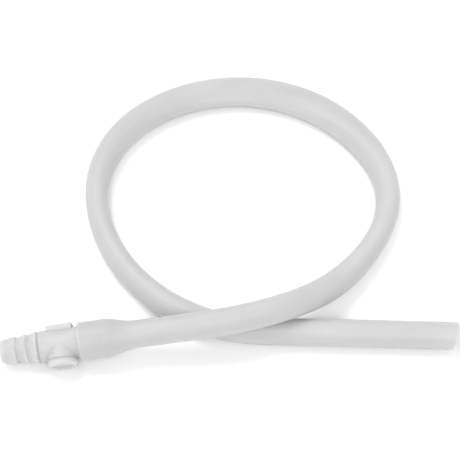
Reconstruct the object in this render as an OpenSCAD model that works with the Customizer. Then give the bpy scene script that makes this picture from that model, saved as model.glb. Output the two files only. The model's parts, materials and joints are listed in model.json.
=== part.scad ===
// Self-priming siphon hose: a silicone hose laid in one loop, pushed onto a small push-button
// valve with a barbed inlet nose that holds a ball check. Millimetres, +Z up.
// Origin: centre of the hose's open outlet, with +X pointing straight out of it.

/* [Hose] */
// Inside diameter of the hose at rest
hose_id = 9.5; // [9.2:0.1:9.6]
// Outside diameter of the hose at rest
hose_od = 12.7; // [12.2:0.1:12.7]
// Length of the straight outlet end
outlet_len = 90.5; // [80:0.5:95]
// Length of the straight run that leads to the valve
valve_run = 30.5; // [28:0.5:34]
// Length over which the stretched end necks down to the plain hose
neck_len = 15.5; // [13:0.5:18]

/* [Valve body] */
// Radius of the round body that the hose end stops against
body_r = 7.15; // [7.0:0.05:7.3]
// Radius of the boss that holds the spring and the poppet
boss_r = 7.1; // [7.0:0.05:7.3]
// Distance from the nose tip to the boss axis
boss_x = 27.8; // [27.6:0.1:28]
// Distance from the flow axis to the outside of the spring cap
cap_end = 10.6; // [10.1:0.1:11]
// Largest radius of the barbed outlet stem inside the hose
stem_barb_r = 7.85; // [7.7:0.05:7.9]
// Roll of the valve about its own axis, which rests the boss on the table
valve_roll = 55.5; // [54:0.5:56]

/* [Button and ball] */
// Length of the thumb button along the valve
button_len = 11.8; // [11:0.1:12]
// Width of the thumb button
button_w = 7; // [6.4:0.1:7]
// Height of the button's top above the flow axis, at rest
button_top = 8.8; // [8.7:0.1:9.2]
// Travel of the button, and the lift of the poppet off its seat
button_travel = 1.6; // [1.2:0.1:1.6]
// Radius of the check ball
ball_r = 3.2; // [3:0.1:3.3]
// Lift of the check ball off its seat
ball_lift = 3; // [2:0.25:3]

/* [Hidden] */
$fn = 96;
gap = 0.02;
hair = 0.02;
lap = 0.5;
hose_r = hose_od / 2;
bore_r = hose_id / 2;
wall_area = hose_r * hose_r - bore_r * bore_r;

// The bends between the outlet and the valve: [radius, angle, roll before the bend].
// Every bend turns right. The first four lie flat. The last three climb over the outlet
// end and come down to the valve.
BENDS = [
    [81.5, 77.5, 0],
    [57, 64, 0],
    [75, 97.5, 0],
    [49.5, 56.5, 0],
    [95, 30, -37.5],
    [66, 16, 66],
    [84, 26, 3],
];

// Stations along the valve, from the nose tip (x) and from the flow axis (y).
nose_len = 18.1;
edge = 0.4;
hose_end_x = 36.5;
barb_rise = 0.3;
first_barb_x = 37.2;
first_barb_end_x = 46.4;
last_barb_x = 46.9;
stem_end_x = 51.2;
neck_x = last_barb_x + barb_rise + 0.2;
neck_end_x = neck_x + neck_len;
land_r = 7.25;
land_x = 16.4;
land_len = 0.8;
mouth_depth = 1;
seat_end_x = 3.6;
seat_hole_r = 2.4;
nose_bore_r = 4;
ball_x = seat_end_x + sqrt(ball_r * ball_r - seat_hole_r * seat_hole_r) + gap;
retainer_x = ball_x + ball_lift + ball_r + gap;
retainer_t = 1.2;
spigot_r = 5.2;
spigot_end_x = 20.8;
socket_end_x = 21.2;
web_low = -2;
web_high = -1;
ledge_y = 1.9;
pocket_floor = 3.9;
skirt_y = pocket_floor + button_travel + 0.1;
skirt_t = 0.9;
chamber_r = 4.2;
upper_r = 3.2;
gland_r = 3.6;
rod_r = 1.5;
rod_tail_r = 1.1;
poppet_r = 3.4;
seal_t = 1;
poppet_y = web_low - gap - seal_t;
spring_top = poppet_y - 1.2;
spring_floor = -8.6;
spring_r = 2.95;
wire_r = 0.3;
spring_turns = 3.5;
coil_steps = 20;
wire_sides = 8;
cap_joint = -7.6;
cap_spigot_r = 5.2;
cap_spigot_top = -5.9;
ring_r = 0.45;
ring_x = 19.6;
ring_seat_r = 4.25;
spigot_bore_r = 3.2;
stem_root_r = 7;
stem_bore_x = 35.2;
stem_bore_r = 5.4;
port_r = 4.6;
seat_r = 2.4;
deck_y = 5.7;
deck_half_w = 3.7;
side_play = 0.2;
bar_w = 0.9;
plate_t = 1.3;
socket_r = 2.3;
rod_top = 8;
ridge_r = 1;
ridge_y = button_top - 0.55;
gland_ring_y = 2.9;
hub_r = 2.3;
clip_t = 0.5;
clip_y = spring_top - 1.2;
clip_groove_r = 0.75;
rod_end = clip_y - 0.5;
cap_ring_y = -6.75;
recess_r = 4.6;
recess_y = 0.6 - cap_end;

// ---------- placing ----------

// Moves to the end of one bend that turns right.
module past(bend) {
    rotate([bend[2], 0, 0])
        translate([0, -bend[0], 0])
            rotate([0, 0, -bend[1]])
                translate([0, bend[0], 0])
                    children();
}

// Moves to the start of bend number n, counted from the outlet.
module at_bend(n) {
    if (n == 0)
        rotate([0, 0, 180]) translate([outlet_len, 0, 0]) children();
    else
        at_bend(n - 1) past(BENDS[n - 1]) children();
}

// The valve's own frame: +X from the nose tip to the hose, +Y out of the button.
module at_valve() {
    at_bend(len(BENDS))
        translate([valve_run + neck_end_x, 0, 0])
            rotate([0, 0, 180])
                rotate([valve_roll, 0, 0])
                    children();
}

// A solid turned about the valve's X axis, from a profile of [x, radius] points.
module turned_x(profile) {
    rotate([0, 90, 0])
        rotate_extrude()
            polygon([for (p = profile) [p[1], p[0]]]);
}

// A solid turned about the boss axis, from a profile of [y, radius] points.
module turned_y(profile) {
    translate([boss_x, 0, 0])
        rotate([-90, 0, 0])
            rotate_extrude()
                polygon([for (p = profile) [p[1], p[0]]]);
}

// A rod or a hole along X, and one along the boss axis.
module rod_x(r, x0, x1) {
    translate([x0, 0, 0]) rotate([0, 90, 0]) cylinder(r = r, h = x1 - x0);
}
module rod_y(r, y0, y1) {
    translate([boss_x, y0, 0]) rotate([-90, 0, 0]) cylinder(r = r, h = y1 - y0);
}

// ---------- hose ----------

// Every second length is slimmer by a hair and reaches a little way into its neighbours, so
// that all the lengths join into one solid.
function thin(slim) = slim ? hair : 0;

module hose_section(slim) {
    difference() {
        circle(r = hose_r - thin(slim));
        circle(r = bore_r + thin(slim));
    }
}

module hose_straight(length) {
    rotate([0, 90, 0])
        linear_extrude(height = length)
            hose_section(false);
}

module hose_bend(bend, slim) {
    reach = slim ? 180 * lap / (PI * bend[0]) : 0;
    rotate([bend[2], 0, 0])
        translate([0, -bend[0], 0])
            rotate([0, 0, 90 - bend[1] - reach])
                rotate_extrude(angle = bend[1] + 2 * reach, $fn = 240)
                    translate([bend[0], 0])
                        hose_section(slim);
}

// Inside radius of the stretched end over the stem, then a smooth neck to the plain bore.
function ease(t) = (1 - cos(180 * t)) / 2;
neck_steps = 8;
stretch_r = stem_barb_r + gap;
inner = concat(
    [[hose_end_x, stretch_r], [neck_x, stretch_r]],
    [for (i = [1 : neck_steps])
        let (t = i / neck_steps)
        [neck_x + neck_len * t, stretch_r + (bore_r + hair - stretch_r) * ease(t)]],
    [[neck_end_x + lap, bore_r + hair]]);

// The wall thins where it is stretched, so that its cross-section keeps its area. Two hairs
// slimmer, so that its end joins the plain hose in the same way.
function outer_of(p) = [p[0], sqrt(p[1] * p[1] + wall_area) - 2 * hair];
outer = [for (i = [len(inner) - 1 : -1 : 0]) outer_of(inner[i])];

module hose() {
    color([0.88, 0.88, 0.87, 0.9])
        union() {
            rotate([0, 0, 180]) hose_straight(outlet_len);
            for (n = [0 : len(BENDS) - 1])
                at_bend(n) hose_bend(BENDS[n], n % 2 == 0);
            at_bend(len(BENDS)) hose_straight(valve_run);
            at_valve() turned_x(concat(inner, outer));
        }
}

// ---------- valve body ----------

// One barb of the outlet stem: a steep face towards the hose's end, then a slope.
module stem_barb(x0, x1, low) {
    turned_x([[x0, 0], [x0, stem_barb_r - 0.15], [x0 + barb_rise, stem_barb_r],
        [x1, low], [x1, 0]]);
}

// The raised, rounded deck that frames the button.
module button_frame(r) {
    intersection() {
        rod_y(r, 0, deck_y);
        translate([boss_x, 0, 0])
            cube([2 * r, 4 * r, 2 * deck_half_w], center = true);
    }
}

module body_outside() {
    turned_x([[nose_len, 0], [nose_len, body_r - edge], [nose_len + edge, body_r],
        [hose_end_x, body_r], [hose_end_x + edge, body_r - edge], [hose_end_x + edge, 0]]);
    rod_x(stem_root_r, nose_len + 1, stem_end_x - 0.6);
    stem_barb(first_barb_x, first_barb_end_x, stem_barb_r - 0.4);
    stem_barb(last_barb_x, stem_end_x, stem_barb_r - 0.9);
    rod_y(boss_r, cap_joint, 0);
    button_frame(boss_r);
}

// A flat port through a wall, cut out of a round passage.
module flat_port(x0, x1, y0, y1) {
    intersection() {
        rod_x(port_r, x0, x1);
        translate([x0 - 1, y0, -port_r])
            cube([x1 - x0 + 2, y1 - y0, 2 * port_r]);
    }
}

module button_pocket() {
    translate([boss_x - button_len / 2 - side_play, pocket_floor, -button_w / 2 - side_play])
        cube([button_len + 2 * side_play, 10, button_w + 2 * side_play]);
}

module valve_body() {
    color([0.93, 0.94, 0.93, 0.75])
        at_valve()
            difference() {
                body_outside();
                rod_x(spigot_r + gap, nose_len - 1, socket_end_x);
                flat_port(socket_end_x - 0.5, boss_x, -port_r, web_low);
                rod_y(chamber_r, cap_joint - 1, web_low);
                rod_y(cap_spigot_r + gap, cap_joint - 1, cap_spigot_top + 0.1);
                rod_y(seat_r, web_low - 1, web_high + 1);
                rod_y(upper_r, web_high, pocket_floor + 1);
                rod_y(gland_r + gap, ledge_y, pocket_floor + 1);
                button_pocket();
                flat_port(boss_x, stem_bore_x + 0.5, web_high, ledge_y);
                rod_x(stem_bore_r, stem_bore_x, stem_end_x + 1);
            }
}

// ---------- inlet nose and its ball check ----------

module inlet_nose() {
    color([0.94, 0.95, 0.94, 0.75])
        at_valve()
            difference() {
                turned_x([[0, 0], [0, 5.0], [0.25, 5.2],
                    [7.1, 6.4], [7.3, 6.3], [7.3, 5.6], [8.4, 5.6],
                    [12.1, 6.7], [12.3, 6.6], [12.3, 6.0], [13.1, 6.0],
                    [land_x, land_r], [land_x + land_len, land_r],
                    [land_x + land_len + 0.1, 6.7], [nose_len - gap, 6.7],
                    [nose_len - gap, spigot_r], [ring_x - 0.6, spigot_r],
                    [ring_x - 0.6, ring_seat_r], [ring_x + 0.6, ring_seat_r],
                    [ring_x + 0.6, spigot_r], [spigot_end_x - 0.4, spigot_r],
                    [spigot_end_x, spigot_r - 0.4], [spigot_end_x, 0]]);
                turned_x([[-1, 0], [-1, nose_bore_r + 0.5], [0, nose_bore_r + 0.5],
                    [0.5, nose_bore_r], [0.5, 0]]);
                rod_x(nose_bore_r, 0.4, retainer_x + retainer_t + gap);
                rod_x(spigot_bore_r, retainer_x, spigot_end_x + 1);
                turned_x([[spigot_end_x - 0.8, 0], [spigot_end_x - 0.8, spigot_bore_r],
                    [spigot_end_x + 0.2, spigot_bore_r + 1], [spigot_end_x + 0.2, 0]]);
            }
}

// A round rubber ring whose centre circle has radius mean_r, lying in the XY plane.
module rubber_ring(mean_r) {
    rotate_extrude() translate([mean_r, 0]) circle(r = ring_r);
}

module nose_o_ring() {
    color("dimgray")
        at_valve()
            translate([ring_x, 0, 0]) rotate([0, 90, 0])
                rubber_ring(spigot_r - ring_r - gap);
}

module check_seat() {
    color([0.95, 0.95, 0.92])
        at_valve()
            difference() {
                rod_x(nose_bore_r - gap, mouth_depth, seat_end_x);
                rod_x(seat_hole_r, 0, seat_end_x + 1);
            }
}

module check_ball() {
    color("silver")
        at_valve()
            translate([ball_x, 0, 0]) sphere(r = ball_r);
}

// A ring with a cross of two bars, which stops the ball and lets the liquid past.
module ball_retainer() {
    color([0.95, 0.95, 0.92])
        at_valve() {
            difference() {
                rod_x(nose_bore_r - gap, retainer_x, retainer_x + retainer_t);
                rod_x(nose_bore_r - 0.9, retainer_x - 1, retainer_x + retainer_t + 1);
            }
            for (turn = [0, 90])
                rotate([turn, 0, 0])
                    translate([retainer_x, -nose_bore_r + 0.4, -bar_w / 2])
                        cube([retainer_t, 2 * nose_bore_r - 0.8, bar_w]);
        }
}

// ---------- button, stem and poppet ----------

// A block with rounded upright corners, along +Y.
module pad(length, width, y0, y1, corner) {
    translate([boss_x, y0, 0])
        rotate([-90, 0, 0])
            linear_extrude(height = y1 - y0) {
                square([length - 2 * corner, width], center = true);
                square([length, width - 2 * corner], center = true);
                for (sx = [-1, 1], sz = [-1, 1])
                    translate([sx * (length / 2 - corner), sz * (width / 2 - corner)])
                        circle(r = corner);
            }
}

module button() {
    color([0.95, 0.95, 0.94])
        at_valve()
            difference() {
                union() {
                    difference() {
                        pad(button_len, button_w, skirt_y, button_top, 0.6);
                        pad(button_len - 2 * skirt_t, button_w - 2 * skirt_t,
                            skirt_y - 1, button_top - plate_t, 0.4);
                    }
                    rod_y(socket_r, skirt_y, button_top - 0.5);
                    thumb_ridge();
                }
                rod_y(rod_r + gap, skirt_y - 1, rod_top + gap);
            }
}

// The rounded ridge across the hose end of the button.
module thumb_ridge() {
    intersection() {
        translate([boss_x + button_len / 2 - ridge_r, ridge_y, -button_w / 2])
            cylinder(r = ridge_r, h = button_w);
        pad(button_len, button_w, button_top - plate_t, button_top + 2, 0.6);
    }
}

module valve_stem() {
    color("silver")
        at_valve()
            difference() {
                union() {
                    rod_y(rod_r, web_low - gap, rod_top);
                    rod_y(rod_tail_r, rod_end, web_low);
                }
                difference() {
                    rod_y(rod_r + 1, clip_y - gap, clip_y + clip_t + gap);
                    rod_y(clip_groove_r, clip_y - 1, clip_y + clip_t + 1);
                }
            }
}

module stem_gland() {
    color([0.95, 0.95, 0.92])
        at_valve()
            difference() {
                rod_y(gland_r, ledge_y + gap, pocket_floor - gap);
                rod_y(rod_r + 0.05, ledge_y - 1, pocket_floor + 1);
                rod_y(rod_r + 2 * ring_r + 2 * gap, gland_ring_y - 0.5, gland_ring_y + 0.5);
            }
}

module stem_o_ring() {
    color("dimgray")
        at_valve()
            translate([boss_x, gland_ring_y, 0]) rotate([-90, 0, 0])
                rubber_ring(rod_r + ring_r + gap);
}

module poppet() {
    color([0.95, 0.95, 0.92])
        at_valve()
            difference() {
                union() {
                    rod_y(poppet_r, spring_top, poppet_y);
                    rod_y(hub_r, clip_y + clip_t + gap, poppet_y - 0.5);
                }
                rod_y(rod_tail_r + gap, clip_y - 1, poppet_y + 1);
            }
}

module poppet_seal() {
    color("dimgray")
        at_valve()
            difference() {
                rod_y(poppet_r - 0.1, poppet_y + gap, web_low - 2 * gap);
                rod_y(rod_tail_r + gap, poppet_y - 1, web_low + 1);
            }
}

// A snap ring with a slot, which holds the poppet on the stem.
module poppet_clip() {
    color("silver")
        at_valve()
            difference() {
                rod_y(hub_r - 0.2, clip_y, clip_y + clip_t);
                rod_y(clip_groove_r + gap, clip_y - 1, clip_y + clip_t + 1);
                translate([boss_x, clip_y - 1, -clip_groove_r])
                    cube([hub_r + 1, clip_t + 2, 2 * clip_groove_r]);
            }
}

// ---------- return spring ----------

// Height of the coil at a share t of its length: the last turn at each end lies nearly flat.
function coil_y(t) =
    let (low = spring_floor + wire_r + gap, high = spring_top - wire_r - gap)
    low + (high - low) * (t - sin(360 * t) / 9);
function coil_point(t) =
    let (a = 360 * spring_turns * t)
    [spring_r * cos(a), coil_y(t), spring_r * sin(a)];
function coil_ring(t) =
    let (a = 360 * spring_turns * t)
    [for (k = [0 : wire_sides - 1])
        let (b = 360 * k / wire_sides)
        coil_point(t) + wire_r * [cos(b) * cos(a), sin(b), cos(b) * sin(a)]];

module return_spring() {
    rings = spring_turns * coil_steps;
    last = rings * wire_sides;
    points = [for (i = [0 : rings]) each coil_ring(i / rings)];
    sides = [for (i = [0 : rings - 1], k = [0 : wire_sides - 1])
        let (m = (k + 1) % wire_sides, a = i * wire_sides, b = a + wire_sides)
        each [[a + k, b + k, b + m], [a + k, b + m, a + m]]];
    caps = [[for (k = [0 : wire_sides - 1]) k],
        [for (k = [wire_sides - 1 : -1 : 0]) last + k]];
    color("silver")
        at_valve()
            translate([boss_x, 0, 0])
                polyhedron(points = points, faces = concat(sides, caps));
}

// ---------- spring cap ----------

module spring_cap() {
    color([0.93, 0.94, 0.93, 0.8])
        at_valve()
            difference() {
                union() {
                    turned_y([[-cap_end, 0], [-cap_end, boss_r - 1.7], [-cap_end + 0.15, boss_r - 1],
                        [-cap_end + 0.6, boss_r - 0.35], [-cap_end + 1.3, boss_r],
                        [cap_joint - gap, boss_r], [cap_joint - gap, 0]]);
                    turned_y([[cap_joint - 1, 0], [cap_joint - 1, cap_spigot_r],
                        [cap_ring_y - 0.6, cap_spigot_r], [cap_ring_y - 0.6, cap_spigot_r - 1],
                        [cap_ring_y + 0.6, cap_spigot_r - 1], [cap_ring_y + 0.6, cap_spigot_r],
                        [cap_spigot_top, cap_spigot_r], [cap_spigot_top, 0]]);
                }
                rod_y(spring_r + wire_r + 0.25, spring_floor, 0);
                rod_y(recess_r, -cap_end - 1, recess_y);
            }
}

module cap_o_ring() {
    color("dimgray")
        at_valve()
            translate([boss_x, cap_ring_y, 0]) rotate([-90, 0, 0])
                rubber_ring(cap_spigot_r - ring_r - gap);
}

hose();
valve_body();
inlet_nose();
nose_o_ring();
check_seat();
check_ball();
ball_retainer();
button();
valve_stem();
stem_gland();
stem_o_ring();
poppet();
poppet_seal();
poppet_clip();
return_spring();
spring_cap();
cap_o_ring();
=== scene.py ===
import json
import math

import bpy
import numpy as np
from mathutils import Matrix, Vector
from mathutils.bvhtree import BVHTree


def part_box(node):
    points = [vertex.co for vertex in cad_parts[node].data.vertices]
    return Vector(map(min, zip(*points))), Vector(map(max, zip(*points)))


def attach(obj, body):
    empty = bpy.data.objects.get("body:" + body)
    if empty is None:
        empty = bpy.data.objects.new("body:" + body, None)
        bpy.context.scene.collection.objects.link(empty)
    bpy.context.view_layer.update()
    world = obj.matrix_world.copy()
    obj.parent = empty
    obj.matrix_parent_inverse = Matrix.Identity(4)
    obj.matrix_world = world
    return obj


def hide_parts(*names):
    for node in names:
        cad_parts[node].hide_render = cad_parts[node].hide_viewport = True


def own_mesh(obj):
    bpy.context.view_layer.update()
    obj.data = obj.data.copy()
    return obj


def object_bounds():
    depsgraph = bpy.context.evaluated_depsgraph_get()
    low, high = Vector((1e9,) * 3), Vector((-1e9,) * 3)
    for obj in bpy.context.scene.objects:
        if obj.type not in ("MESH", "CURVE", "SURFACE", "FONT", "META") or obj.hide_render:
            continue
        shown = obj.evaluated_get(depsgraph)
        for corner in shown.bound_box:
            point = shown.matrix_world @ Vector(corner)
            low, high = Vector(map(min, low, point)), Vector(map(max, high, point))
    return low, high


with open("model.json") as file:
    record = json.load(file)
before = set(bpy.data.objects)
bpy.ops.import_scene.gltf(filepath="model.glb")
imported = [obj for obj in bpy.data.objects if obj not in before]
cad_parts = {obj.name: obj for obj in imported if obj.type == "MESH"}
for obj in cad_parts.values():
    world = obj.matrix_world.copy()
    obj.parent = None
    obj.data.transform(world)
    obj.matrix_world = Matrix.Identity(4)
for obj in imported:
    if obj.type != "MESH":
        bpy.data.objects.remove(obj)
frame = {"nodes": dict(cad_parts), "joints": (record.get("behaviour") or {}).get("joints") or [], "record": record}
cad_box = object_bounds()

# Lengths in this file are metres, like the frame, unless a name ends in _mm.
MM = 0.001
NODES = frame["nodes"]
RECORD = frame["record"]
MOUNTS = {mount["name"]: mount for mount in RECORD["mounts"]}
JOINTS = {joint["name"]: joint for joint in frame["joints"]}
UP = np.array((0.0, 0.0, 1.0))


# ---------- small tools ----------

def unit(vector):
    vector = np.asarray(vector, float)
    return vector / np.linalg.norm(vector)


def eased(low, high, value):
    """0 below low, 1 above high, and a smooth step in between."""
    t = np.clip((value - low) / (high - low), 0, 1)
    return t * t * (3 - 2 * t)


def points_of(node):
    mesh = NODES[node].data
    flat = np.zeros(3 * len(mesh.vertices))
    mesh.vertices.foreach_get("co", flat)
    return flat.reshape(-1, 3)


def surface_of(node):
    """The node's surface, ready to be hit by rays."""
    mesh = NODES[node].data
    return BVHTree.FromPolygons([v.co for v in mesh.vertices],
                                [p.vertices for p in mesh.polygons])


def new_piece(name, mesh, body, slot, *nodes):
    """A piece that stands for CAD nodes, moves with a body and looks like its material slot."""
    piece = bpy.data.objects.new(name, mesh)
    bpy.context.scene.collection.objects.link(piece)
    mesh.materials.clear()
    mesh.materials.append(FINISHES[slot])
    mesh.shade_smooth()
    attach(piece, body)
    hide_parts(*nodes)
    return piece


# ---------- the valve's own frame ----------

# X from the nose tip to the hose, Y out of the button, and the nose tip as its origin.
VALVE_X = unit(JOINTS["ball_lift"]["axis"])
VALVE_Y = -unit(JOINTS["button_press"]["axis"])
VALVE_Z = np.cross(VALVE_X, VALVE_Y)
BARB = np.array(MOUNTS["inlet_barb"]["pos_m"])
NOSE_TIP = BARB + VALVE_X * ((points_of("inlet_nose") - BARB) @ VALVE_X).min()
SPRING_END = np.array(JOINTS["button_press"]["deforming_nodes"][0]["fixed_end_m"])
CAP_END = SPRING_END + VALVE_Y * ((points_of("spring_cap") - SPRING_END) @ VALVE_Y).min()


def from_tip(points):
    """Distance along the valve's axis from the nose tip."""
    return (np.asarray(points) - NOSE_TIP) @ VALVE_X


# ---------- materials ----------

class Finish:
    """One node material. Its methods add nodes and return the socket that the next one needs."""

    def __init__(self, name, attribute=None):
        self.material = bpy.data.materials.new(name)
        self.material.use_nodes = True
        self.tree = self.material.node_tree
        self.tree.nodes.clear()
        place = self.place_from(attribute)
        self.place_mm = self.add("ShaderNodeVectorMath", {0: place, 3: 1 / MM},
                                 operation="SCALE").outputs[0]

    def place_from(self, attribute):
        if attribute is None:
            return self.add("ShaderNodeTexCoord").outputs["Object"]
        return self.add("ShaderNodeAttribute", attribute_name=attribute).outputs["Vector"]

    def add(self, kind, inputs=None, **settings):
        node = self.tree.nodes.new(kind)
        for key, value in settings.items():
            setattr(node, key, value)
        for key, value in (inputs or {}).items():
            if isinstance(value, bpy.types.NodeSocket):
                self.tree.links.new(value, node.inputs[key])
            else:
                node.inputs[key].default_value = value
        return node

    def noise(self, size_mm, detail=3, stretch=(1, 1, 1), seed=0):
        """Noise whose features are about size_mm across, drawn out by stretch along each axis."""
        scale = [1 / (size_mm * s) for s in stretch]
        spot = self.add("ShaderNodeMapping", {"Vector": self.place_mm, "Scale": scale,
                                              "Location": (seed, 2 * seed, 3 * seed)})
        wave = self.add("ShaderNodeTexNoise", {"Vector": spot.outputs[0], "Scale": 1,
                                               "Detail": detail, "Roughness": 0.55})
        return wave.outputs["Fac"]

    def cells(self, size_mm):
        dots = self.add("ShaderNodeTexVoronoi", {"Vector": self.place_mm, "Scale": 1 / size_mm})
        return dots.outputs["Distance"]

    def span(self, value, low, high, to_low=0, to_high=1):
        return self.add("ShaderNodeMapRange", {"Value": value, "From Min": low, "From Max": high,
                                               "To Min": to_low, "To Max": to_high}).outputs[0]

    def maths(self, operation, first, second):
        return self.add("ShaderNodeMath", {0: first, 1: second}, operation=operation).outputs[0]

    def mix(self, share, first, second):
        inputs = {"Factor": share, "A": first, "B": second}
        node = self.add("ShaderNodeMix", data_type="RGBA")
        for key, value in inputs.items():
            socket = [s for s in node.inputs if s.name == key and s.enabled][0]
            if isinstance(value, bpy.types.NodeSocket):
                self.tree.links.new(value, socket)
            else:
                socket.default_value = value
        return [s for s in node.outputs if s.enabled][0]

    def near(self, point, reach_mm):
        """1 within reach_mm of a point of the frame, fading to 0 over the next third."""
        spot = tuple(np.asarray(point) / MM)
        gap = self.add("ShaderNodeVectorMath", {0: self.place_mm, 1: spot}, operation="DISTANCE")
        return self.span(gap.outputs["Value"], reach_mm, 1.3 * reach_mm, 1, 0)

    def wear(self, low, high):
        """1 on sharp outside edges, 0 elsewhere."""
        edge = self.add("ShaderNodeNewGeometry").outputs["Pointiness"]
        return self.span(edge, low, high)

    def bump(self, height, strength, depth_mm, under=None):
        inputs = {"Height": height, "Strength": strength, "Distance": depth_mm * MM}
        if under is not None:
            inputs["Normal"] = under
        return self.add("ShaderNodeBump", inputs).outputs[0]

    def done(self, **inputs):
        """Ends in one Principled shader. Underscores in the names stand for spaces."""
        named = {key.replace("_", " "): value for key, value in inputs.items()}
        shader = self.add("ShaderNodeBsdfPrincipled", named)
        output = self.add("ShaderNodeOutputMaterial")
        self.tree.links.new(shader.outputs[0], output.inputs["Surface"])
        return self.material


def grey(value, warm=0.0):
    return (value + warm, value, value - warm, 1)


HOSE_PLACE = "hose_place"


def silicone():
    """Milky extruded silicone: faint lines along the hose, clouding in the wall, fine dust."""
    f = Finish("milky_silicone", HOSE_PLACE)
    cloud = f.noise(14, 4, (2.5, 1, 1))
    lines = f.noise(0.9, 2, (90, 1, 1), seed=3)
    grain = f.noise(0.35, 2, seed=5)
    dust = f.span(f.cells(3.1), 0.0, 0.05, 1, 0)
    colour = f.mix(f.span(cloud, 0.3, 0.7), grey(0.515), grey(0.555))
    colour = f.mix(f.span(lines, 0.35, 0.75, 0, 0.18), colour, grey(0.61))
    colour = f.mix(f.maths("MULTIPLY", dust, 0.35), colour, grey(0.65))
    gloss = f.maths("ADD", f.span(cloud, 0.3, 0.7, 0.34, 0.46), f.span(grain, 0.3, 0.7, 0, 0.08))
    normal = f.bump(lines, 0.25, 0.06)
    normal = f.bump(grain, 0.15, 0.03, normal)
    return f.done(Base_Color=colour, Roughness=gloss, Normal=normal, IOR=1.41,
                  Subsurface_Weight=0.9, Subsurface_Radius=(1, 1, 1),
                  Subsurface_Scale=4.5 * MM)


def natural_plastic():
    """Natural moulded polyolefin: clouded, with flow marks, soft orange peel and pale worn edges."""
    f = Finish("natural_plastic")
    cloud = f.noise(5, 4)
    flow = f.noise(1.2, 3, (4, 1, 1), seed=2)
    peel = f.noise(0.3, 2, seed=4)
    scuff = f.span(f.noise(0.5, 2, (14, 1, 1), seed=6), 0.62, 0.72)
    edge = f.wear(0.52, 0.62)
    colour = f.mix(f.span(cloud, 0.3, 0.7), grey(0.53), grey(0.57))
    colour = f.mix(f.span(flow, 0.4, 0.8, 0, 0.25), colour, grey(0.63))
    colour = f.mix(f.maths("MULTIPLY", edge, 0.5), colour, grey(0.67))
    # Painted shade: a faint warm patch round the cap's end stands for the shade in its recess.
    colour = f.mix(f.maths("MULTIPLY", f.near(CAP_END, 4.1), 0.5), colour, grey(0.55, 0.02))
    gloss = f.maths("ADD", f.span(cloud, 0.3, 0.7, 0.46, 0.56), f.maths("MULTIPLY", scuff, 0.15))
    normal = f.bump(peel, 0.2, 0.03)
    normal = f.bump(flow, 0.15, 0.05, normal)
    return f.done(Base_Color=colour, Roughness=gloss, Normal=normal, IOR=1.5,
                  Subsurface_Weight=0.9, Subsurface_Radius=(1, 1, 1),
                  Subsurface_Scale=4.5 * MM)


def white_plastic():
    """The button: a finely textured white moulding, polished a little where a thumb rests."""
    f = Finish("white_plastic")
    cloud = f.noise(4, 3)
    texture = f.noise(0.16, 3, seed=1)
    scuff = f.span(f.noise(0.4, 2, (1, 1, 12), seed=8), 0.6, 0.7)
    edge = f.wear(0.52, 0.6)
    colour = f.mix(f.span(cloud, 0.3, 0.7), grey(0.57), grey(0.61))
    colour = f.mix(f.maths("MULTIPLY", edge, 0.4), colour, grey(0.67))
    gloss = f.maths("ADD", f.span(texture, 0.3, 0.7, 0.4, 0.55),
                    f.maths("MULTIPLY", scuff, -0.12))
    normal = f.bump(texture, 0.35, 0.03)
    return f.done(Base_Color=colour, Roughness=gloss, Normal=normal, IOR=1.49,
                  Subsurface_Weight=0.8, Subsurface_Radius=(1, 1, 1),
                  Subsurface_Scale=1.5 * MM)


def acetal():
    """Hard white acetal with fine turning marks."""
    f = Finish("acetal")
    cloud = f.noise(3, 3)
    marks = f.noise(0.12, 1, (1, 30, 30), seed=2)
    colour = f.mix(f.span(cloud, 0.3, 0.7), grey(0.74, 0.012), grey(0.82, 0.01))
    gloss = f.span(marks, 0.3, 0.7, 0.22, 0.36)
    return f.done(Base_Color=colour, Roughness=gloss, Normal=f.bump(marks, 0.2, 0.02), IOR=1.48,
                  Subsurface_Weight=0.2, Subsurface_Scale=0.5 * MM)


def grey_rubber():
    """Food-grade grey rubber, matt, with pale dust in its pores."""
    f = Finish("grey_rubber")
    cloud = f.noise(1.5, 4)
    pores = f.cells(0.25)
    colour = f.mix(f.span(cloud, 0.35, 0.65), grey(0.28), grey(0.36, 0.004))
    colour = f.mix(f.span(pores, 0, 0.15, 0.4, 0), colour, grey(0.5))
    gloss = f.span(cloud, 0.3, 0.7, 0.6, 0.8)
    return f.done(Base_Color=colour, Roughness=gloss, Normal=f.bump(pores, 0.3, 0.02), IOR=1.5)


def bright_steel():
    """Drawn stainless steel: fine drawing lines, small stains."""
    f = Finish("bright_steel")
    lines = f.noise(0.06, 2, (1, 20, 20), seed=1)
    stain = f.noise(1.1, 4, seed=3)
    colour = f.mix(f.span(stain, 0.35, 0.7), grey(0.62, 0.004), grey(0.74, -0.004))
    gloss = f.maths("ADD", f.span(lines, 0.3, 0.7, 0.16, 0.28), f.span(stain, 0.4, 0.7, 0, 0.1))
    return f.done(Base_Color=colour, Metallic=1.0, Roughness=gloss,
                  Normal=f.bump(lines, 0.15, 0.01))


FINISHES = {
    "silicone": silicone(),
    "natural_plastic": natural_plastic(),
    "white_plastic": white_plastic(),
    "acetal": acetal(),
    "black_rubber": grey_rubber(),
    "polished_steel": bright_steel(),
}


# ---------- the hose ----------

OUTLET = MOUNTS["hose_outlet"]
MOUTH = np.array(OUTLET["pos_m"], float)
BORE_R = OUTLET["dims"]["r_mm"] * MM
STRAIGHT_LEN = OUTLET["dims"]["length_mm"] * MM
TABLE_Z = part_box("hose")[0].z
HOSE_R = MOUTH[2] - TABLE_Z
CAMERA_ELEVATION = math.radians(57)
WALL_AREA = HOSE_R ** 2 - BORE_R ** 2
STEP = 1.5 * MM
RAYS = 24
FAR = 30 * MM
SIDES = 72
STEM_SPOKES = 8
CORNER_R = 0.35 * MM
# Distances along the valve's axis from the nose tip: the hose is straight up to the first of
# them, and follows its own bend again from the second.
STRAIGHT_TO = 70 * MM
BENT_FROM = 85 * MM
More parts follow.
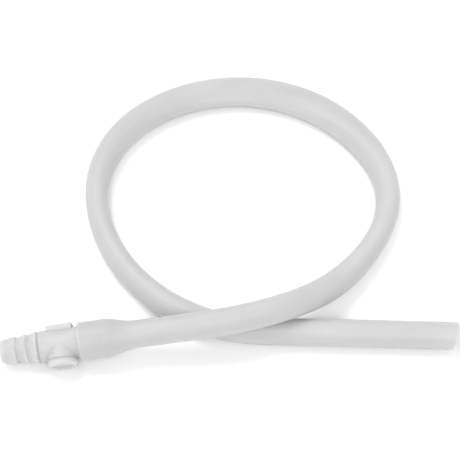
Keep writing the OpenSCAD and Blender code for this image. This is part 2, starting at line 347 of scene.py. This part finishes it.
# Near its end the hose is gripped: the stretch, the share of each groove that it sinks into, and
# how far along the hose a groove's edge is spread.
GRIPPED_LEN = 25 * MM
SINK = 0.4
SPREAD = 1.2 * MM
# The last bit of the hose flares by this much, over this length.
FLARE = 0.18 * MM
FLARE_LEN = 1.3 * MM


def ring_of_rays(centre, heading, surface):
    """Where rays across the heading meet the surface, or None if one of them misses it."""
    side = unit(np.cross(UP, heading))
    lift = np.cross(heading, side)
    hits = []
    for k in range(RAYS):
        angle = 2 * math.pi * k / RAYS
        ray = math.cos(angle) * side + math.sin(angle) * lift
        hit = surface.ray_cast(Vector(centre), Vector(ray), FAR)[0]
        if hit is None:
            return None
        hits.append(hit)
    return np.array(hits)


def follow_bore(surface):
    """Walks up the inside of the hose from its mouth, and returns the bore's centres and radii."""
    heading = -unit(OUTLET["axis"])
    centre = MOUTH + 0.3 * STEP * heading
    centres = [MOUTH]
    radii = [BORE_R]
    while True:
        hits = ring_of_rays(centre, heading, surface)
        if hits is None:
            break
        # Rays from a point off the centre meet the circle at points whose mean lies halfway.
        centre = centre + 2 * (hits.mean(axis=0) - centre)
        radii.append(np.linalg.norm(hits - centre, axis=1).mean())
        heading = unit(centre - centres[-1])
        centres.append(centre)
        centre = centre + STEP * heading
    end_x = from_tip(points_of("hose")).min()
    end = NOSE_TIP + end_x * VALVE_X
    while from_tip(centres[-1]) < end_x + 0.2 * STEP:
        centres.pop()
        radii.pop()
    return np.array(centres + [end]), np.array(radii + radii[-1:])


def length_along(line):
    steps = np.linalg.norm(np.diff(line, axis=0), axis=1)
    return np.concatenate([[0], np.cumsum(steps)])


def blurred(values, reach):
    """Gaussian blur along the first axis. Reach is in samples; the ends are held."""
    width = int(3 * reach)
    weights = np.exp(-0.5 * (np.arange(-width, width + 1) / reach) ** 2)
    weights /= weights.sum()
    table = values if values.ndim == 2 else values[:, None]
    padded = np.concatenate([table[:1].repeat(width, 0), table, table[-1:].repeat(width, 0)])
    columns = [np.convolve(column, weights, "valid") for column in padded.T]
    return np.array(columns).T.reshape(values.shape)


def eased_line(line, reach):
    """Evens out the changes of curvature between the CAD model's arcs, away from the ends."""
    once = blurred(line, reach)
    evened = 2 * once - blurred(once, reach)
    samples = np.arange(len(line))
    inset = np.minimum(samples, samples[::-1])
    share = eased(2 * reach, 6 * reach, inset)[:, None]
    return line + share * (evened - line)


def on_valve_axis(line):
    """Lays the stretch next to the valve exactly on the valve's axis."""
    x = from_tip(line)
    near = 1 - eased(STRAIGHT_TO, BENT_FROM, x)
    near[: len(line) // 2] = 0
    axis = NOSE_TIP + np.outer(x, VALVE_X)
    return line + near[:, None] * (axis - line)


def stem_radius(x, surface):
    """Outside radius of the valve's stem at each distance x from the nose tip."""
    found = []
    for station in x:
        centre = NOSE_TIP + station * VALVE_X
        radii = []
        for k in range(STEM_SPOKES):
            angle = 2 * math.pi * k / STEM_SPOKES
            out = math.cos(angle) * VALVE_Y + math.sin(angle) * VALVE_Z
            hit = surface.ray_cast(Vector(centre + FAR * out), Vector(-out), FAR)[0]
            radii.append(0 if hit is None else np.linalg.norm(np.array(hit) - centre))
        found.append(np.mean(radii))
    return np.array(found)


def gripped(x, bore):
    """The bore's radius where the hose grips the stem: it follows the barbs up to the last one."""
    stem = stem_radius(x, surface_of("valve_body"))
    crest = x[stem > 0.98 * stem.max()].max()
    sag = np.where(x <= crest, np.maximum(bore - stem, 0), 0)
    return bore - SINK * blurred(sag, SPREAD / (x[0] - x[1]))


class Hose:
    """Centre line, headings and section of the hose at evenly spaced stations."""
    # Width of the section against a round one, at angles round the middle of the loop as the
    # camera sees it: 0 is to the right and 90 is away from the camera.
    seen_angles = (-60, -30, -15, 0, 15, 40, 65, 90, 120, 150, 180, 210, 240)
    seen_widths = (0.92, 0.80, 0.76, 0.88, 0.98, 1.25, 1.36, 1.31, 1.26, 1.08, 0.80, 0.91, 1.0)
    loop_middle = (-102.4 * MM, 69 * MM)
    ramp = 35 * MM
    # A bend that makes the section wider by one part makes it lower by this part.
    give = 0.85
    bend_blur = 7 * MM
    oval_blur = 10 * MM

    def __init__(self):
        centres, bores = follow_bore(surface_of("hose"))
        travelled = length_along(centres)
        count = int(travelled[-1] / (STEP / 3))
        self.s = np.linspace(0, travelled[-1], count)
        raw = np.array([np.interp(self.s, travelled, axis) for axis in centres.T]).T
        self.centre = on_valve_axis(eased_line(raw, self.bend_blur / self.s[1]))
        self.heading = np.gradient(self.centre, self.s, axis=0)
        self.heading /= np.linalg.norm(self.heading, axis=1)[:, None]
        self.bore = self.bore_over_stem(np.interp(self.s, travelled, bores))
        self.outer = np.sqrt(self.bore ** 2 + WALL_AREA) + self.flare()
        self.across, self.upright = self.ovals()
        lift = (self.upright - 1) * HOSE_R
        self.centre[:, 2] += lift
        self.centre[:, 1] -= lift / math.tan(CAMERA_ELEVATION)

    def bore_over_stem(self, bore):
        x = from_tip(self.centre)
        over = self.s > self.s[-1] - GRIPPED_LEN
        bore = bore.copy()
        bore[over] = gripped(x[over], bore[over])
        return bore

    def flare(self):
        """The hose's last millimetre opens a little where it was pushed over the first barb."""
        left = self.s[-1] - self.s
        return FLARE * np.exp(-(left / FLARE_LEN) ** 2)

    def ovals(self):
        """Width and height of the section against a round one: the bend flattens the hose."""
        lying = np.abs(self.centre[:, 2] - MOUTH[2]) < 0.3 * MM
        last = self.s[lying & (self.s < 0.8 * self.s[-1])].max()
        window = eased(STRAIGHT_LEN - self.ramp, STRAIGHT_LEN + self.ramp, self.s)
        window = window * (1 - eased(last - 5 * MM, last + 30 * MM, self.s))
        east = self.centre[:, 0] - self.loop_middle[0]
        north = (self.centre[:, 1] - self.loop_middle[1]) * math.sin(CAMERA_ELEVATION)
        angle = np.degrees(np.arctan2(north, east))
        angle = np.where(angle < -90, angle + 360, angle)
        across = np.interp(angle, self.seen_angles, self.seen_widths)
        across = blurred(1 + (across - 1) * window, self.oval_blur / self.s[1])
        upright = 1 - self.give * (across - 1)
        return across, upright

    def section(self, s, radius):
        """One ring of points at distance s from the mouth, and their places on a straight hose."""
        centre = np.array([np.interp(s, self.s, axis) for axis in self.centre.T])
        heading = unit([np.interp(s, self.s, axis) for axis in self.heading.T])
        across = np.interp(s, self.s, self.across)
        upright = np.interp(s, self.s, self.upright)
        side = unit(np.cross(UP, heading))
        lift = np.cross(heading, side)
        angle = 2 * math.pi * np.arange(SIDES) / SIDES
        flat = np.array([np.cos(angle), np.sin(angle)]).T * radius
        ring = centre + flat[:, :1] * across * side + flat[:, 1:] * upright * lift
        place = np.column_stack([np.full(SIDES, s), flat])
        return ring, place


def hose_profile(hose):
    """Stations of the rings round the hose's wall: out along the outside, back along the bore."""
    total = hose.s[-1]
    fine_from = total - 30 * MM
    turns = [math.radians(a) for a in (90, 60, 30, 0)]
    # From the cut face to the wall: the distance from the end, and how much the corner takes off.
    rounded = [(CORNER_R * (1 - math.sin(a)), CORNER_R * (1 - math.cos(a))) for a in turns]
    middle = list(np.arange(STEP, fine_from, STEP))
    middle += list(np.arange(fine_from, total - STEP / 2, STEP / 4))
    rings = [("outer", s, -t) for s, t in rounded]
    rings += [("outer", s, 0) for s in middle]
    rings += [("outer", total - s, -t) for s, t in reversed(rounded)]
    rings += [("bore", total - s, t) for s, t in rounded]
    rings += [("bore", s, 0) for s in reversed(middle)]
    rings += [("bore", s, t) for s, t in reversed(rounded)]
    return rings


def hand_cut(ring, s):
    """The open end was cut by hand: its near side is shorter and its far corner a little rounded."""
    crown = 3.2 * MM
    bow = 0.033 / MM
    cut_back = 25 * MM
    fade = 1 - float(eased(0, cut_back, s))
    seen = (ring[:, 1] - MOUTH[1]) * math.sin(CAMERA_ELEVATION)
    seen += (ring[:, 2] - MOUTH[2]) * math.cos(CAMERA_ELEVATION)
    return ring - np.outer(bow * fade * (seen - crown) ** 2, unit(OUTLET["axis"]))


def build_hose():
    hose = Hose()
    points = []
    places = []
    for wall, s, trim in hose_profile(hose):
        radius = np.interp(s, hose.s, hose.outer if wall == "outer" else hose.bore) + trim
        ring, place = hose.section(s, radius)
        points.append(hand_cut(ring, s))
        places.append(place)
    rows = len(points)
    faces = []
    for i in range(rows):
        j = (i + 1) % rows
        for k in range(SIDES):
            m = (k + 1) % SIDES
            faces.append((i * SIDES + k, i * SIDES + m, j * SIDES + m, j * SIDES + k))
    mesh = bpy.data.meshes.new("silicone_hose")
    mesh.from_pydata(np.concatenate(points).tolist(), [], faces)
    attribute = mesh.attributes.new(HOSE_PLACE, "FLOAT_VECTOR", "POINT")
    attribute.data.foreach_set("vector", np.concatenate(places).astype(np.float32).ravel())
    new_piece("silicone_hose", mesh, "valve", "silicone", "hose")


# ---------- moulded plastic ----------

KEPT_FACES = 0.3


def moulded(name, node, body, slot, cell_mm, passes):
    """A copy of a CAD node with the soft edges and fillets of a moulding."""
    mesh = NODES[node].data.copy()
    mesh.transform(Matrix.Scale(1 / MM, 4))
    shape = bpy.data.objects.new(name + "_shape", mesh)
    bpy.context.scene.collection.objects.link(shape)
    remesh = shape.modifiers.new("remesh", "REMESH")
    remesh.mode = "VOXEL"
    remesh.voxel_size = cell_mm
    soften = shape.modifiers.new("soften", "SMOOTH")
    soften.factor = 0.5
    soften.iterations = passes
    reduce = shape.modifiers.new("reduce", "DECIMATE")
    reduce.ratio = KEPT_FACES
    ready = shape.evaluated_get(bpy.context.evaluated_depsgraph_get())
    soft = bpy.data.meshes.new_from_object(ready)
    bpy.data.objects.remove(shape)
    soft.transform(Matrix.Scale(MM, 4))
    soft.name = name
    return new_piece(name, soft, body, slot, node)


# ---------- the return spring ----------

def build_spring():
    """The coil, finer than the CAD one, with its end turns closed."""
    press = JOINTS["button_press"]
    anchor = np.array(press["deforming_nodes"][0]["fixed_end_m"])
    local = points_of("return_spring") - anchor
    height = local @ VALVE_Y
    reach = np.linalg.norm(local - np.outer(height, VALVE_Y), axis=1)
    wire = (reach.max() - reach.min()) / 2
    coil = (reach.max() + reach.min()) / 2
    low = height.min() + wire
    high = height.max() - wire
    turns = 3.5
    closing = 1 / 9
    rings = int(turns * 48)
    sides = 16
    points = []
    for i in range(rings + 1):
        t = i / rings
        angle = 2 * math.pi * turns * t
        out = math.cos(angle) * VALVE_X - math.sin(angle) * VALVE_Z
        rise = low + (high - low) * (t - closing * math.sin(2 * math.pi * t))
        centre = anchor + coil * out + rise * VALVE_Y
        for k in range(sides):
            turn = 2 * math.pi * k / sides
            points.append(centre + wire * (math.cos(turn) * out + math.sin(turn) * VALVE_Y))
    faces = []
    for i in range(rings):
        for k in range(sides):
            m = (k + 1) % sides
            faces.append((i * sides + k, (i + 1) * sides + k, (i + 1) * sides + m, i * sides + m))
    faces.append(tuple(range(sides)))
    faces.append(tuple(reversed(range(rings * sides, (rings + 1) * sides))))
    mesh = bpy.data.meshes.new("spring_coil")
    mesh.from_pydata([tuple(p) for p in points], [], faces)
    piece = new_piece("spring_coil", mesh, "valve", "polished_steel", "return_spring")
    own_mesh(piece)


def paint_cad_nodes():
    """Every CAD node gets the finish of its slot."""
    for part in RECORD["subparts"]:
        node = NODES[part["node"]]
        finish = FINISHES[part["material_slot"]]
        if not node.material_slots:
            node.data.materials.append(finish)
        for place in node.material_slots:
            place.material = finish
        node.data.shade_smooth()


# ---------- stage ----------

def plain_floor():
    half = 3.0
    gap = 0.05 * MM
    corners = [(-half, -half), (half, -half), (half, half), (-half, half)]
    mesh = bpy.data.meshes.new("floor")
    mesh.from_pydata([(x, y, TABLE_Z - gap) for x, y in corners], [], [(0, 1, 2, 3)])
    floor = bpy.data.objects.new("floor", mesh)
    bpy.context.scene.collection.objects.link(floor)
    f = Finish("pale_floor")
    tone = f.mix(f.span(f.noise(60, 2), 0.3, 0.7), grey(0.96), grey(0.98))
    # The floor throws a little less light back on the object than the camera sees on it.
    bounced = f.mix(f.add("ShaderNodeLightPath").outputs["Is Camera Ray"], grey(0.92), tone)
    mesh.materials.append(f.done(Base_Color=bounced, Roughness=0.9, Specular_IOR_Level=0.1))


def soft_light():
    world = bpy.data.worlds.new("studio")
    world.use_nodes = True
    world.node_tree.nodes["Background"].inputs["Color"].default_value = (1, 1, 1, 1)
    world.node_tree.nodes["Background"].inputs["Strength"].default_value = 0.74
    bpy.context.scene.world = world
    soft_lamp("key", 1.1, 24, (0.4, -0.42, -1.25))
    soft_lamp("fill", 1.15, 30, (-0.05, 0.6, -0.85))
    bpy.context.scene.view_settings.view_transform = "Standard"


def soft_lamp(name, strength, spread, towards):
    light = bpy.data.lights.new(name, "SUN")
    light.energy = strength
    light.angle = math.radians(spread)
    lamp = bpy.data.objects.new(name, light)
    lamp.rotation_euler = Vector(towards).to_track_quat("-Z", "Y").to_euler()
    bpy.context.scene.collection.objects.link(lamp)


def photo_camera():
    """A long lens that looks down at the loop from the front."""
    elevation = CAMERA_ELEVATION
    azimuth = math.radians(1.62)
    half_view = math.radians(6.2)
    distance = 1.0126
    centre = (cad_box[0] + cad_box[1]) / 2
    aim = Vector((centre.x - 1.8 * MM, centre.y - 0.8 * MM, TABLE_Z))
    back = Vector((math.sin(azimuth) * math.cos(elevation),
                   -math.cos(azimuth) * math.cos(elevation), math.sin(elevation)))
    data = bpy.data.cameras.new("camera")
    data.sensor_width = 36
    data.lens = data.sensor_width / 2 / math.tan(half_view)
    data.clip_start = 0.05
    camera = bpy.data.objects.new("camera", data)
    camera.location = aim + distance * back
    camera.rotation_euler = (-back).to_track_quat("-Z", "Y").to_euler()
    bpy.context.scene.collection.objects.link(camera)
    bpy.context.scene.camera = camera


# ---------- assembly ----------

paint_cad_nodes()
build_hose()
moulded("moulded_body", "valve_body", "valve", "natural_plastic", 0.12, 24)
moulded("moulded_nose", "inlet_nose", "valve", "natural_plastic", 0.10, 20)
moulded("boss_cap", "spring_cap", "valve", "natural_plastic", 0.10, 16)
moulded("thumb_button", "button", "plunger", "white_plastic", 0.08, 6)
build_spring()
plain_floor()
soft_light()
photo_camera()
